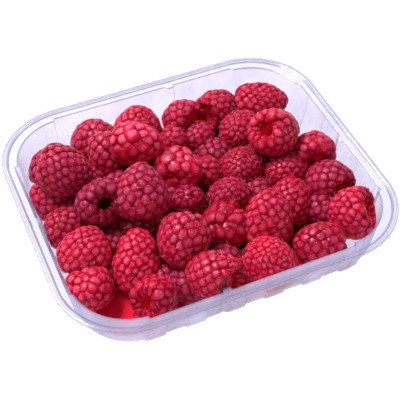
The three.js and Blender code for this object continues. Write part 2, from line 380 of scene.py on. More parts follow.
# %% Section of the sheet
# Each row: inset, height, then the share of rib, lug and corner ledge, how far the bend reaches, and how
# strongly it shows as a line in the plastic: more haze, more gloss and a painted shade.
SECTION = [
    (26.0, 0.3, 1, 0, 0, 0, 0),
    (10.7, 0.3, 1, 0, 0, 5.0, 0),
    (6.15, 23.7, 0, 1, 1, 0.5, 0.8),
    (2.95, 23.7, 0, 0, 0, 0.45, 1),
    (2.55, 24.7, 0, 0, 0, 0.45, 0.6),
    (1.4, 24.7, 0, 0, 0, 0.4, 0.4),
    (0.3, 24.7, 0, 0, 0, 0.5, 0.6),
    (0.3, 23.5, 0, 0, 0, 0, 0),
]
BEND_STEPS = 5


def rounded_line(rows):
    """The line through the rows with each bend turned into a small curve, and each point's line mark."""
    rows = np.array(rows, dtype=float)
    points = [rows[0, :5]]
    marks = [0.0]
    for before, here, after in zip(rows[:-2], rows[1:-1], rows[2:]):
        corner = here[:5]
        reach = here[5]
        start = corner + (before[:5] - corner) * reach / np.linalg.norm(before[:2] - corner[:2])
        end = corner + (after[:5] - corner) * reach / np.linalg.norm(after[:2] - corner[:2])
        for share in np.linspace(0, 1, BEND_STEPS):
            curve = start * (1 - share) ** 2 + corner * 2 * share * (1 - share) + end * share ** 2
            points.append(curve)
            marks.append(here[6] * math.sin(math.pi * share))
    points.append(rows[-1, :5])
    marks.append(0.0)
    return np.array(points), np.array(marks)


def add_attribute(mesh, name, values):
    """Stores one number for each point of a mesh, for its material to read."""
    attribute = mesh.attributes.new(name, "FLOAT", "POINT")
    attribute.data.foreach_set("value", np.asarray(values, dtype=np.float32))


def tray_mesh():
    middle, marks = rounded_line(SECTION)
    run = np.gradient(middle[:, :2], axis=0)
    run /= np.linalg.norm(run, axis=1)[:, None]
    # The floor runs outwards, so its left-hand side seen along the line is the outer, lower face.
    outward = np.stack([run[:, 1], -run[:, 0]], axis=1)
    rings = []
    for side, order in ((1, 1), (-1, -1)):
        face = middle.copy()
        face[:, :2] += side * outward * SHEET / 2
        rings += [tray_ring(*row) for row in face[::order]]
    mesh = loft("tray_sheet", rings)
    ring_marks = np.concatenate([marks, marks[::-1]])
    add_attribute(mesh, "line", np.append(np.repeat(ring_marks, len(rings[0])), [0, 0]))
    return mesh


def loft(name, rings, ends=None):
    """A closed mesh through rings of equal length, with a fan of faces at either end. Millimetres in."""
    count = len(rings[0])
    if ends is None:
        ends = [np.mean(rings[0], axis=0), np.mean(rings[-1], axis=0)]
    points = np.concatenate([*rings, ends]) * MM
    faces = []
    for band in range(len(rings) - 1):
        for place in range(count):
            here = band * count + place
            side = band * count + (place + 1) % count
            faces.append((here, side, side + count, here + count))
    last = (len(rings) - 1) * count
    for place in range(count):
        side = (place + 1) % count
        faces.append((len(rings) * count, side, place))
        faces.append((len(rings) * count + 1, last + place, last + side))
    mesh = bpy.data.meshes.new(name)
    mesh.from_pydata(points.tolist(), [], faces)
    mesh.shade_smooth()
    return mesh


tray = add_object("tray_sheet", tray_mesh())
print("tray faces:", len(tray.data.polygons))

# %% [markdown]
# ## Clear plastic
#
# Thin clear plastic hardly bends light. What shows it is a faint lilac tint, a haze that grows where
# the sheet is seen edge on, fine lines where it bends, and glints. Where the sheet is seen edge on and
# along its bends the tint turns to a darker grey lilac, which is painted shade for the light that the
# bends turn away. A glass shader would do this by tracing refraction through both faces, which is slow
# and noisy and darkens the fruit inside. Here a tinted see-through part, a haze that scatters light to
# both sides and a gloss are mixed, and the angle of view decides their shares, so the look holds from
# every side. Low on the near wall, where fruit lies against the sheet, patches of red are painted into
# the haze: painted light, for the fruit's red seen through the sheet.

# %% Plastic material
PLASTIC_CAST = rgb(228, 220, 243)
PAINTED_EDGE_SHADE = rgb(96, 88, 138)
PAINTED_FRUIT_GLOW = rgb(204, 104, 146)
CLEAR_TINT = (0.875, 0.877, 0.96, 1.0)
FLAT_COVER = 0.15
EDGE_COVER = 0.8

plastic, board = new_material("clear_plastic")
facing = board.add("ShaderNodeLayerWeight", {"Blend": 0.5}, "Facing")
flow = board.noise(60.0, 3.0, board.place)
scuffs = board.smooth(board.noise(900.0, 2.0, board.place), 0.62, 0.75)
line = board.attribute("line")
cover = FLAT_COVER + (EDGE_COVER - FLAT_COVER) * facing ** 3.0
cover = cover + 0.35 * (flow - 0.4) + 0.03 * scuffs + 0.4 * line
grain = board.bump(flow, 0.12, 0.0004)
# Painted shade: edge on and along the bends the cast turns to a darker grey lilac.
cast = board.blend(board.maths("MAXIMUM", facing ** 4, line), PLASTIC_CAST, PAINTED_EDGE_SHADE)
spot = board.split(board.place)
# Painted light: low on the near wall the haze takes patches of the fruit's red, as if seen through the
# sheet.
near_wall = board.smooth(-1.0 * spot.out("Y"), 0.058, 0.066)
below_rim = 1.0 - board.smooth(spot.out("Z"), 0.015, 0.021)
painted_fruit_glow = 0.6 * near_wall * below_rim * board.smooth(flow, 0.4, 0.6)
cast = board.blend(painted_fruit_glow, cast, PAINTED_FRUIT_GLOW)
milk = board.add("ShaderNodeBsdfDiffuse", {"Color": cast, "Normal": grain})
glow = board.add("ShaderNodeBsdfTranslucent", {"Color": cast})
haze = board.add("ShaderNodeMixShader", {0: 0.55, 1: milk, 2: glow})
clear = board.add("ShaderNodeBsdfTransparent", {"Color": CLEAR_TINT})
sheet = board.add("ShaderNodeMixShader", {0: cover, 1: clear, 2: haze})
gloss = board.add("ShaderNodeBsdfGlossy", {"Roughness": 0.16, "Normal": grain})
mirror = 0.05 + 0.4 * facing ** 4 + 0.25 * line
board.finish(board.add("ShaderNodeMixShader", {0: mirror, 1: sheet, 2: gloss}))
tray.data.materials.append(plastic)
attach(tray, "root")
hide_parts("tray")

# %% [markdown]
# ## The liner
#
# The pad on the floor is a thin sheet of pressed fibre, stained red by juice. Its edge is soft and its
# top is a little uneven and dimpled. It could be a cube with a displacement modifier, but its outline
# has to fit the tray's round foot, so it is lofted as the tray is, with a low dome and small waves
# worked out for each point.

# %% Liner mesh
LINER_LENGTH = 124.0
LINER_SHIFT = -5.0
LINER_WIDTH = 112.0
LINER_RADIUS = 15.0
LINER_BOTTOM = 0.9
LINER_TOP = 1.7
LINER_STEPS = 72
LINER_DIMPLE = 0.12
DIMPLE_PITCH = 1.1
SOFT_EDGE = 0.006


def rounded_rectangle(length, width, radius, count):
    """Points round a rectangle with round corners, evenly spread in angle over each corner."""
    points = []
    per_corner = count // 4
    for corner, (sx, sy) in enumerate(((1, -1), (1, 1), (-1, 1), (-1, -1))):
        centre = np.array([sx * (length / 2 - radius), sy * (width / 2 - radius)])
        for step in range(per_corner):
            angle = math.pi / 2 * (corner - 1 + step / (per_corner - 1))
            points.append(centre + radius * np.array([math.cos(angle), math.sin(angle)]))
    return np.array(points)


def liner_mesh():
    edge = rounded_rectangle(LINER_LENGTH, LINER_WIDTH, LINER_RADIUS, LINER_STEPS)
    middle = (LINER_BOTTOM + LINER_TOP) / 2
    rise = (LINER_TOP - LINER_BOTTOM) / 2
    rings = [level(edge * share, LINER_BOTTOM) for share in (0.3, 0.7, 0.95)]
    for turn in np.linspace(-60, 60, 5):
        lean = math.cos(math.radians(turn))
        inner = edge * (1 - SOFT_EDGE * (1 - lean))
        rings.append(level(inner, middle + rise * math.sin(math.radians(turn))))
    for share in np.linspace(0.98, 0.04, 24):
        flat = edge * share
        rings.append(level(flat, LINER_TOP + waves(flat, LINER_DIMPLE, DIMPLE_PITCH)))
    return loft("liner_pad", [ring + np.array([LINER_SHIFT, 0, 0]) for ring in rings])


liner = add_object("liner_pad", liner_mesh())
print("liner faces:", len(liner.data.polygons))

# %% [markdown]
# ## Wet fibre
#
# The fibre is a tangle of short threads, so two stretched noises crossing each other make its bump. The
# juice has spread unevenly: deep red where berries lie, brighter towards the free corners.

# %% Liner material
fibre, board = new_material("stained_fibre")
stain = board.smooth(board.noise(38.0, 4.0, board.place), 0.3, 0.72)
threads = board.noise(900.0, 4.0, board.place)
stretched = board.add("ShaderNodeMapping", {"Vector": board.place, "Scale": (1.0, 6.0, 1.0)})
cross = board.noise(500.0, 3.0, stretched)
relief = threads * 0.6 + cross * 0.4
red = board.blend(stain, rgb(206, 6, 46), rgb(246, 16, 56))
speck = board.smooth(relief, 0.55, 0.75)
board.finish_principled({
    "Base Color": board.blend(0.3 * speck, red, rgb(214, 40, 50)),
    "Roughness": 0.55 + 0.3 * relief,
    "Specular IOR Level": 0.15,
    "Normal": board.bump(relief, 0.5, 0.0003),
})
liner.data.materials.append(fibre)
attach(liner, "root")
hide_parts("liner")

# %% [markdown]
# ## A berry's body
#
# A raspberry is a thimble: when it is picked, the white plug stays on the cane and leaves a hollow. Its
# outside is packed with drupelets, the small juicy beads. The body here is only the thimble that they
# sit on, a surface of revolution with dents and folds. Its UV map is what matters: U runs once round,
# and V climbs from the open rim to the tip in such a way that equal steps hold equal numbers of beads.

# %% Body of a berry
DRUPELET = 3.9
FULLNESS = 1.06
BODY_SIDES = 36
# The outline in its own plane: the part of the length, and the distance out as a part of the width.
# It starts at the foot of the hollow, and drupelets start at the row that RIM_ROW names.
BODY_OUTLINE = [
    (0.46, 0.0), (0.45, 0.07), (0.36, 0.12), (0.2, 0.16), (0.07, 0.21), (0.01, 0.28),
    (0.0, 0.35), (0.06, 0.425), (0.18, 0.475), (0.33, 0.5), (0.48, 0.49), (0.62, 0.445),
    (0.75, 0.37), (0.86, 0.275), (0.94, 0.175), (0.985, 0.08), (0.998, 0.02),
]
RIM_ROW = 4
RIM_SEAT = -0.06
RIM_PITCH = 0.58
BEAD_SINK = 0.44
BEAD_PACKING = 0.82
WAIST_WIDTH = 0.09
TIP_RISE = 0.02
TAPER_FROM = 0.4
# Dents round the body: how many, how deep, and how far they wind from rim to tip.
DENTS = [(3, 0.02, 3), (4, 0.015, -5)]


def body_object(name, width, length, traits, draw):
    """The thimble of one berry, open end down, in millimetres turned to metres, centred on its length."""
    bead = DRUPELET * traits["beads"]
    sink = BEAD_SINK * bead
    outline = np.array(BODY_OUTLINE)
    h = outline[:, 0]
    r = outline[:, 1] * (1 + traits["taper"] * (TAPER_FROM - h))
    h[:RIM_ROW - 1] *= traits["deep"]
    r[:RIM_ROW + 2] *= traits["open"]
    for place, depth in traits["waists"]:
        r = r * (1 - depth * np.exp(-((h - place) / WAIST_WIDTH) ** 2) * (np.arange(len(h)) > RIM_ROW + 1))
    radius = r * (width * FULLNESS - 2 * sink)
    height = (h - 0.5) * (length * FULLNESS - 1.5 * sink)
    rows = len(h)
    angles = np.arange(BODY_SIDES + 1) * 2 * math.pi / BODY_SIDES
    phase = [draw.uniform(0, 2 * math.pi) for _ in range(4)]
    uneven = traits["uneven"]
    oval = draw.uniform(0.0, 0.07)
    lean = draw.uniform(-0.06, 0.06)
    grid = np.zeros((rows, BODY_SIDES, 3))
    for row in range(rows):
        turn = angles[:-1]
        wobble = 1 + oval * np.cos(2 * turn + phase[0])
        for start, (lobes, deep, wind) in zip(phase[1:], DENTS):
            wobble += uneven * deep * np.cos(lobes * turn + start + wind * h[row])
        for kind, share in (("folds", math.sqrt(1 - h[row])), ("creases", 1.0)):
            for dent_turn, dent_width, dent_depth in traits[kind]:
                away = (turn - math.radians(dent_turn) + math.pi) % (2 * math.pi) - math.pi
                wobble -= dent_depth * np.exp(-(away / math.radians(dent_width)) ** 2) * share
        x = radius[row] * wobble * np.cos(turn) + lean * height[row]
        y = radius[row] * wobble * np.sin(turn)
        z = height[row] + uneven * 0.02 * width * np.cos(turn + phase[3]) * (1 - h[row])
        grid[row] = np.stack([x, y, z], axis=1)

    # Seats per row follow the area of each band, over the square of the bead's spacing there.
    spacing = bead * (1.02 - 0.16 * np.clip(h, 0, 1) ** 2)
    step = np.hypot(np.diff(radius), np.diff(height))
    seats = math.pi * (radius[1:] + radius[:-1]) * step / (BEAD_PACKING * spacing[1:] * spacing[:-1])
    seats[:RIM_ROW + 1] = 0
    climb = np.concatenate([[0], np.cumsum(seats)])
    count = int(round(climb[-1]))
    climb = climb / climb[-1]
    climb[:RIM_ROW + 1] = np.linspace(-1, 2 * RIM_SEAT, RIM_ROW + 1)
    around = int(math.pi * (radius[RIM_ROW] + radius[RIM_ROW + 1]) / (RIM_PITCH * bead))

    # The UV map runs in the order of the loft's faces: its bands first, then both end fans, which lie
    # outside the map so that no seat falls on them.
    seats_uv = []
    for low, high in zip(climb[1:-1], climb[2:]):
        for side in range(BODY_SIDES):
            left, right = side / BODY_SIDES, (side + 1) / BODY_SIDES
            seats_uv += [(left, low), (right, low), (right, high), (left, high)]
    seats_uv += ([(0, -2)] * 3 + [(0, 2)] * 3) * BODY_SIDES
    mesh = loft(name, grid[1:], [(0, 0, height[0]), (0, 0, height[-1] + TIP_RISE)])
    uv = mesh.uv_layers.new(name="seat")
    uv.data.foreach_set("uv", np.array(seats_uv, dtype=np.float32).ravel())
    for field, values in (("spacing", spacing * MM), ("hollow", 1.0 * (np.arange(rows) <= RIM_ROW))):
        add_attribute(mesh, field, np.append(np.repeat(values[1:], BODY_SIDES), [values[0], values[-1]]))
    return add_object(name, mesh), count, around


# %% [markdown]
# ## Drupelets by Geometry Nodes
#
# Beads sit on a berry as florets sit on a sunflower: each one is a golden angle round from the last and
# a step further up, which packs them evenly without rows or gaps. Placing five thousand by hand is out
# of the question, and a particle system can't follow that rule. Geometry Nodes can: the tree makes one
# point for each bead, looks its seat up on the body through the UV map, and puts a slightly flattened
# bead there that stands square to the surface. A ring of longer, narrower beads bends over the rim into
# the hollow. Fine hairs, the dried styles of the flower, grow from some of the seats.

# %% Tree of drupelets
GOLDEN_SHARE = (3 - math.sqrt(5)) / 2
BEAD_CAP = 0.5
RIM_BEND = 1.45
RIM_BEAD = (0.38, 0.86, 0.46)
HAIR_BEND = 0.45
HAIR_ROOT = 0.7

flesh, flesh_board = new_material("raspberry_flesh")


def drupelet_tree():
    """Body in, whole berry out. Gives the tree and the identifiers of its inputs by name."""
    tree = bpy.data.node_groups.new("drupelets_on_a_body", "GeometryNodeTree")
    tree.interface.new_socket(name="Body", in_out="INPUT", socket_type="NodeSocketGeometry")
    names = {}
    for name, kind, default in (
        ("Count", "Int", 90), ("Rim Count", "Int", 14), ("Proud", "Float", 0.5), ("Overlap", "Float", 1.46),
        ("Squareness", "Float", 2.15), ("Unevenness", "Float", 0.12), ("Hair Share", "Float", 0.3),
        ("Hair Length", "Float", 2.4 * MM), ("Seed", "Int", 1),
    ):
        socket = tree.interface.new_socket(name=name, in_out="INPUT", socket_type=f"NodeSocket{kind}")
        socket.default_value = default
        names[name] = socket.identifier
    tree.interface.new_socket(name="Berry", in_out="OUTPUT", socket_type="NodeSocketGeometry")
    board = Board(tree)
    entry = board.add("NodeGroupInput")
    body = entry.out("Body")
    seed = entry.out("Seed")

    def draw(low, high, offset):
        inputs = {"Min": low, "Max": high, "Seed": seed + offset}
        return board.add("FunctionNodeRandomValue", inputs, data_type="FLOAT")

    def attribute(name, kind="FLOAT"):
        return board.add("GeometryNodeInputNamedAttribute", {"Name": name}, data_type=kind)

    def look_up(value, kind, seat):
        seat_map = attribute("seat", "FLOAT_VECTOR")
        inputs = {"Mesh": body, "Value": value, "UV Map": seat_map, "Sample UV": seat}
        return board.add("GeometryNodeSampleUVSurface", inputs, data_type=kind)

    def seat_at(turn, climb):
        """Where a seat lies on the body: its place, the surface's normal and the spacing of beads there."""
        seat = board.combine(X=turn, Y=climb)
        return (look_up(board.add("GeometryNodeInputPosition"), "FLOAT_VECTOR", seat),
                look_up(board.add("GeometryNodeInputNormal"), "FLOAT_VECTOR", seat),
                look_up(attribute("spacing"), "FLOAT", seat))

    def spin(rotation, axis, angle):
        """A rotation followed by a turn about one of its own axes."""
        turn = board.add("FunctionNodeAxisAngleToRotation", {"Axis": axis, "Angle": angle})
        inputs = {"Rotation": rotation, "Rotate By": turn}
        return board.add("FunctionNodeRotateRotation", inputs, rotation_space="LOCAL")

    def merge(*layers):
        joined = board.add("GeometryNodeJoinGeometry")
        for layer in layers:
            tree.links.new(layer.socket, joined.node.inputs["Geometry"])
        return joined

    def plant(points, instance, rotation, scale, where=True):
        inputs = {"Points": points, "Instance": instance, "Rotation": rotation, "Scale": scale}
        return board.add("GeometryNodeInstanceOnPoints", {**inputs, "Selection": where})

    def shift(geometry, offset):
        return board.add("GeometryNodeSetPosition", {"Geometry": geometry, "Offset": offset})

    def store(geometry, name, value, kind="FLOAT", domain="INSTANCE"):
        inputs = {"Geometry": geometry, "Name": name, "Value": value}
        return board.add("GeometryNodeStoreNamedAttribute", inputs, data_type=kind, domain=domain)

    def stand(spot, normal, twist):
        """Z along the normal and X round the berry, then a twist about Z."""
        upright = board.add("FunctionNodeAlignRotationToVector", {"Vector": normal}, axis="Z")
        tangent = board.vector("CROSS_PRODUCT", {0: (0, 0, 1), 1: spot})
        inputs = {"Rotation": upright, "Vector": tangent}
        turned = board.add("FunctionNodeAlignRotationToVector", inputs, axis="X", pivot_axis="Z")
        return spin(turned, (0, 0, 1), twist)

    # One point for each bead, a golden angle round and an equal step up from the one before. The rim has
    # a ring of its own, of narrow beads side by side.
    index = board.add("GeometryNodeInputIndex")
    count = entry.out("Count")
    turn = board.maths("FRACT", index * GOLDEN_SHARE + draw(-0.014, 0.014, 11))
    climb = board.maths("MAXIMUM", (index + 0.5 + draw(-2.0, 2.0, 29)) / count, 0.03)
    climb = board.maths("MINIMUM", climb, 0.996)
    spot, normal, spacing = seat_at(turn, climb)
    points = board.add("GeometryNodePoints", {"Count": count, "Position": spot})
    rim_count = entry.out("Rim Count")
    rim_turn = board.maths("FRACT", (index + 0.5 + draw(-0.2, 0.2, 31)) / rim_count)
    rim_spot, rim_normal, rim_spacing = seat_at(rim_turn, RIM_SEAT + draw(-0.05, 0.05, 37))
    rim_points = board.add("GeometryNodePoints", {"Count": rim_count, "Position": rim_spot})

    # The bead starts as a sphere. Its rings all move to the upper half, where it is seen, and its section
    # becomes a superellipse, which has a flatter crown and steeper sides than a circle.
    bead = board.add("GeometryNodeMeshUVSphere", {"Segments": 10, "Rings": 6, "Radius": 1.0}, "Mesh")
    here = board.add("GeometryNodeInputPosition")
    parts = board.split(here)
    polar = board.maths("ARCCOSINE", parts.out("Z"))
    at_foot = board.maths("GREATER_THAN", polar, 0.99 * math.pi)
    lifted = BEAD_CAP * polar + (1 - BEAD_CAP) * math.pi * at_foot
    out, up = board.maths("SINE", lifted), board.maths("COSINE", lifted)
    power = entry.out("Squareness")
    sized = (out ** power + board.maths("ABSOLUTE", up) ** power) ** (-1.0 / power)
    widen = out * sized / board.maths("MAXIMUM", board.maths("SINE", polar), 0.001)
    place = board.combine(X=parts.out("X") * widen, Y=parts.out("Y") * widen, Z=up * sized)
    bead = board.add("GeometryNodeSetPosition", {"Geometry": bead, "Position": place})

    # A bead of the rim is the same one, bent over the edge.
    across_rim = parts.out("Y")
    rim_bead = shift(bead, board.combine(Z=-RIM_BEND * across_rim * across_rim))

    uneven = entry.out("Unevenness")
    size = 1.0 + uneven * draw(-1.0, 1.0, 7)
    long = 1.0 + uneven * draw(-0.5, 1.0, 9)
    spun = stand(spot, normal, draw(-0.7, 0.7, 3))
    tilted = spin(spun, (1, 0, 0), draw(-0.12, 0.12, 5))
    across = spacing * 0.5 * entry.out("Overlap")
    proud = spacing * entry.out("Proud")
    scale = board.combine(X=across * size * 0.95, Y=across * size * long * 1.06, Z=proud * size)
    beads = plant(points, bead, tilted, scale)
    wide, far, high = RIM_BEAD
    rim_scale = board.combine(X=rim_spacing * wide, Y=rim_spacing * far * size, Z=rim_spacing * high * size)
    rim_stand = stand(rim_spot, rim_normal, draw(-0.2, 0.2, 41))
    rim_beads = plant(rim_points, rim_bead, rim_stand, rim_scale)
    beads = store(merge(rim_beads, beads), "tone", draw(0.0, 1.0, 13))
    beads = store(beads, "seat_place", here, "FLOAT_VECTOR")

    # A hair is a thin cone that leans over, on some of the seats.
    hair = board.add("GeometryNodeMeshCone", {
        "Vertices": 3, "Side Segments": 3, "Radius Top": 0.012, "Radius Bottom": 0.045, "Depth": 1.0,
    }, "Mesh", fill_type="TRIANGLE_FAN")
    hair_up = parts.out("Z")
    hair = shift(hair, board.combine(X=HAIR_BEND * hair_up * hair_up))
    hair = store(hair, "hair", 1.0, domain="POINT")
    grows = board.maths("LESS_THAN", draw(0.0, 1.0, 17), entry.out("Hair Share"))
    roots = shift(points, board.vector("SCALE", {0: normal, 3: proud * HAIR_ROOT}))
    hair_turn = spin(spun, (0, 1, 0), draw(0.3, 1.2, 19))
    hair_scale = entry.out("Hair Length") * draw(0.6, 1.2, 23)
    hairs = plant(roots, hair, hair_turn, hair_scale, grows)

    real = board.add("GeometryNodeRealizeInstances", {"Geometry": merge(hairs, beads, body)})
    smooth = board.add("GeometryNodeSetShadeSmooth", {"Geometry": real})
    dressed = board.add("GeometryNodeSetMaterial", {"Geometry": smooth, "Material": flesh})
    output = board.add("NodeGroupOutput")
    board.put(output.inputs["Berry"], dressed)
    return tree, names


drupelets, drupelet_inputs = drupelet_tree()
print("tree inputs:", list(drupelet_inputs))

# %% [markdown]
# ## Where each berry lies
#
# A physics run could drop the berries in, but it would give another heap each time one size changed.
# Here each berry is placed one by one: the middle of it, its width and length, and the way its tip
# points, as a heading and a rise. The lower layer rests on the liner and against the walls, the upper one
# sits in the dips between, and smaller berries hide in the gaps. Many have traits of their own: how ripe
# and how shiny they are, how large and uneven their beads, how wide and deep the hollow. Folds fade
# towards the tip, creases run over it, and waists go round.

# %% Places and traits
PLAIN_BERRY = {
    "ripe": 0.9, "shine": 0.15, "hairs": 0.25, "uneven": 1.0, "beads": 1.0, "taper": 0.0, "deep": 1.0,
    "open": 1.0, "waists": (), "folds": (), "creases": (),
}
# Each row: the middle, the width and length, the tip's heading and rise, and traits that aren't plain.
LOWER_BERRIES = [
    (-34.5, 53, 13.5, 22.5, 20.5, 120, -10, {"ripe": 0.6, "shine": 0.4}),
    (-10, 51.5, 15.5, 23.5, 21.5, 60, 45, {"ripe": 0.3, "beads": 0.9}),
    (13.5, 51.5, 12.2, 20.5, 18.5, 114, -16, {"ripe": 0.6, "open": 1.45}),
    (36, 51, 12, 20.5, 20, 18, -10, {"ripe": 0.5, "beads": 0.9, "open": 1.4}),
    (57.5, 44.5, 14.5, 19.5, 25, -20, 5, {"ripe": 0.4, "beads": 0.88}),
    (37, 30, 12.5, 21.5, 21.5, -150, 25, {"ripe": 0.6, "beads": 0.85, "hairs": 0.7}),
    (64, 2, 14.5, 21, 20, 72, -14, {"ripe": 0.5, "open": 1.2}),
    (61, -18, 13, 22, 20, 104, -10, {"ripe": 0.75, "open": 1.4}),
    (18, 36, 10.5, 17, 17, -100, 40, {"ripe": 0.7, "beads": 0.9}),
    (4, 38, 11, 17, 17, -90, 50, {"ripe": 0.6, "shine": 0.6}),
    (11, 12, 10.5, 17, 17, -110, 45, {"ripe": 0.6, "shine": 0.6}),
    (27, 6, 12.5, 21.5, 21, -120, 40, {"ripe": 0.7, "shine": 0.8, "beads": 0.85, "hairs": 0.7}),
    (46, -4, 12, 20.5, 20, -150, 35, {"ripe": 0.6, "shine": 0.8, "beads": 0.9, "hairs": 0.6}),
    (-64.5, 24.5, 13, 22, 21, 160, 40, {"ripe": 0.5, "beads": 0.95}),
    (-66, 4.5, 12.5, 19, 18.5, -140, 20, {"ripe": 0.6, "beads": 0.9}),
    (-60, -14, 15, 23.5, 22, 50, 35, {"ripe": 0.3, "beads": 0.92, "open": 1.2}),
    (-43, 2, 10, 16, 16, -60, 30),
    (-31, -8, 12, 21, 20, -100, 10, {"ripe": 0.9, "shine": 1.0, "hairs": 0.8}),
    (-5, -2, 11, 18, 18, -90, 60, {"ripe": 0.8, "shine": 1.0, "hairs": 0.5}),
    (14, -9, 12.5, 21, 21, -110, 60, {"ripe": 0.7, "beads": 0.88, "hairs": 0.4}),
    (40, -21, 12.5, 21, 21, 60, 50, {"ripe": 0.35, "shine": 0.6, "beads": 0.88}),
    (3, -25, 12.5, 21.5, 21, -150, 10,
     {"ripe": 0.5, "shine": 1.0, "beads": 1.1, "uneven": 2.0, "hairs": 0.5, "folds": [(20, 14, 0.4)]}),
    (60.5, -41.5, 13.5, 22.5, 22, 145, -35, {"ripe": 0.25, "beads": 0.95, "open": 1.25}),
    (39, -50.5, 12, 19.5, 22, 160, 5, {"ripe": 0.6, "shine": 0.9, "beads": 1.1}),
    (14, -52, 13.5, 24, 22, -110, 70, {"ripe": 0.0, "beads": 0.85, "hairs": 0.4}),
    (-40, -26, 13.5, 21.5, 26, 66, 50, {"ripe": 0.0, "beads": 0.88, "waists": [(0.62, 0.12)]}),
    (-65, -33, 12, 20, 21, -100, 30,
     {"ripe": 0.1, "shine": 0.5, "beads": 1.1, "folds": [(100, 16, 0.3)]}),
    (-39, -49, 12.5, 19.5, 19, 30, -25,
     {"ripe": 0.4, "shine": 0.7, "beads": 0.9, "open": 1.25, "folds": [(-77, 22, 0.3)]}),
    (-24, -47, 9.5, 16, 16, -80, 20),
    (-46, -11, 9.5, 14, 14, -90, 30),
]
HIDDEN_BERRIES = [
    (-57, 44, 13, 22, 20, 45, 30), (57, 24, 12.5, 20, 20, -60, 20), (-30, 14, 12.5, 21, 20, 20, -30),
    (-13, 33, 11, 18, 17, -40, 25), (-46, 29, 11, 18, 18, 170, 15), (-15, -20, 11, 18, 18, 80, 10),
    (-5, -42, 10, 16, 16, -150, 30), (21, 24, 8.5, 17, 17, -60, 30), (36, 13, 8.5, 16, 16, 120, 20),
    (29, -8, 8.5, 16, 16, 10, 40), (54, -33, 9, 17, 18, -60, 20), (-32, -39, 8, 14, 14, 100, 40),
    (18, -38, 8.5, 16, 16, 60, 30), (-13, 6, 9, 17, 17, -20, 30), (-50, -25, 8, 14, 14, 20, 40),
    (56, -3, 8, 15, 15, 160, 30),
]
UPPER_BERRIES = [
    (-55.5, 23, 29, 22.5, 24, -40, -10, {"ripe": 0.8, "beads": 0.95, "open": 1.2}),
    (-32, 35, 18, 19, 20, -100, -20, {"ripe": 0.6, "shine": 0.6}),
    (-17.8, 29, 27.5, 20.5, 22.5, -35, 5,
     {"ripe": 0.15, "beads": 1.22, "taper": -0.1, "uneven": 1.4}),
    (-2.5, 12.5, 19, 20, 20, -60, 20,
     {"ripe": 0.2, "shine": 0.7, "beads": 1.25, "uneven": 2.0,
      "creases": [(118, 14, 0.28), (205, 14, 0.3)]}),
    (-27.5, -0.7, 30, 24, 22, 66, 58, {"ripe": 0.7, "beads": 1.04, "taper": 0.45}),
    (-47, 4, 24, 21, 18, 100, -35, {"ripe": 0.95, "deep": 1.6, "open": 1.05}),
    (48, 11, 25, 23, 22, 20, -45, {"ripe": 0.35, "open": 1.1, "folds": [(-107, 25, 0.3)]}),
    (-20.5, -33, 22.5, 22.5, 22, -120, -20, {"ripe": 0.5, "shine": 0.4, "hairs": 0.4}),
    (23, -31, 18, 22, 25, 66, 60, {"ripe": 0.3, "waists": [(0.38, 0.07), (0.62, 0.07)]}),
    (-16, -53.5, 21, 20.5, 23, 135, -15, {"ripe": 0.4, "shine": 0.7, "open": 1.45}),
]
WALL_FOOT_RADIUS = 5.0
WALL_GAP = 0.25
SOFTNESS = 0.35
HEAP_TOP = 41.7
GROUP_EDGE = 20.0
LUG_MARGIN = 2.0
SEED_STEP = 31
UNEVENNESS = 0.16


def read_vectors(data, field):
    values = np.zeros(len(data) * 3, dtype=np.float32)
    data.foreach_get(field, values)
    return values.reshape(-1, 3).astype(float)


def depth_in_cell(mesh):
    """How far inside its own bead each point lies: 0 on the seam to the next bead, about 0.7 on top."""
    places = read_vectors(mesh.vertices, "co")
    seats = read_vectors(mesh.attributes["seat_place"].data, "vector")
    on_bead = np.linalg.norm(seats, axis=1) > 1e-6
    own = np.linalg.norm(places - seats, axis=1)
    centres = np.unique(seats[on_bead].round(6), axis=0)
    apart = np.linalg.norm(places[on_bead, None] - centres[None], axis=2)
    apart[np.linalg.norm(seats[on_bead, None] - centres[None], axis=2) < 1e-5] = np.inf
    inner = np.zeros(len(places))
    inner[on_bead] = np.clip((apart.min(axis=1) - own[on_bead]) / (DRUPELET * MM), 0, 1)
    mesh.attributes.remove(mesh.attributes["seat_place"])
    return inner


def make_berry(number, row):
    x, y, z, width, length, heading, rise, *own = row
    traits = {**PLAIN_BERRY, **dict(*own)}
    draw = random.Random(number)
    body, count, around = body_object(f"body_{number}", width, length, traits, draw)
    modifier = body.modifiers.new("drupelets", "NODES")
    modifier.node_group = drupelets
    for field, value in (
        ("Count", count), ("Rim Count", around), ("Seed", number * SEED_STEP),
        ("Unevenness", UNEVENNESS * traits["uneven"]), ("Hair Share", traits["hairs"]),
    ):
        modifier[drupelet_inputs[field]] = value
    evaluated = body.evaluated_get(bpy.context.evaluated_depsgraph_get())
    mesh = bpy.data.meshes.new_from_object(evaluated)
    berry = add_object(f"berry_{number}", mesh)
    bpy.data.objects.remove(body)
    every = np.ones(len(mesh.vertices))
    add_attribute(mesh, "ripeness", every * (traits["ripe"] + draw.uniform(-0.05, 0.05)))
    add_attribute(mesh, "shine", every * traits["shine"])
    add_attribute(mesh, "inner", depth_in_cell(mesh))
    turn = Vector((0, 0, 1)).rotation_difference(direction(heading, rise)).to_matrix().to_4x4()
    turn.translation = Vector((x, y, z)) * MM
    mesh.transform(turn)
    press_into_tray(mesh)
    return berry, count + around


def join(name, berries):
    first = berries[0]
    with bpy.context.temp_override(active_object=first, object=first, selected_editable_objects=berries):
        bpy.ops.object.join()
    first.name = name
    return first


def softly(gap):
    """How far a point moves back: not at all while the gap is wide, the whole way past its end."""
    return SOFTNESS * np.logaddexp(0, gap / SOFTNESS) - gap


